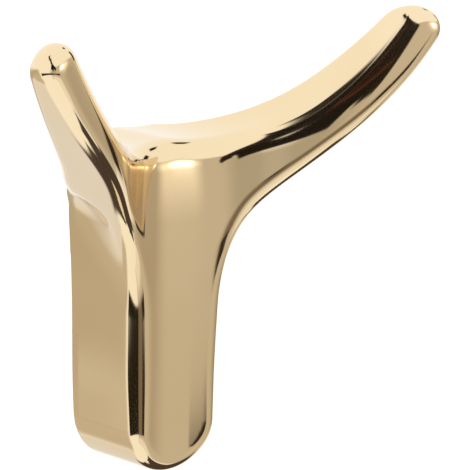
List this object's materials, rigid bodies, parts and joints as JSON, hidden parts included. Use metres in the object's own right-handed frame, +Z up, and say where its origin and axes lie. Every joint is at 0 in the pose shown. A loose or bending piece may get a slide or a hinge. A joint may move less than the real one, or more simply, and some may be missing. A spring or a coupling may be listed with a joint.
{
  "type": "wall hook",
  "caption": "One-piece cast wall hook: a round-ended tongue that spreads into two horns sweeping out, forward and up, fixed from behind.",
  "frame": {"origin": "middle of the tapped hole's mouth, in the flat back that lies on the wall", "axes": "+Z up, +X to the right for someone facing the hook, -Y out of the wall towards them"},
  "size_m": [0.0638, 0.0307, 0.0613],
  "materials": {
    "polished_gold": "polished"
  },
  "bodies": {
    "root": {"hook_body": "polished_gold"}
  },
  "joints": []
}
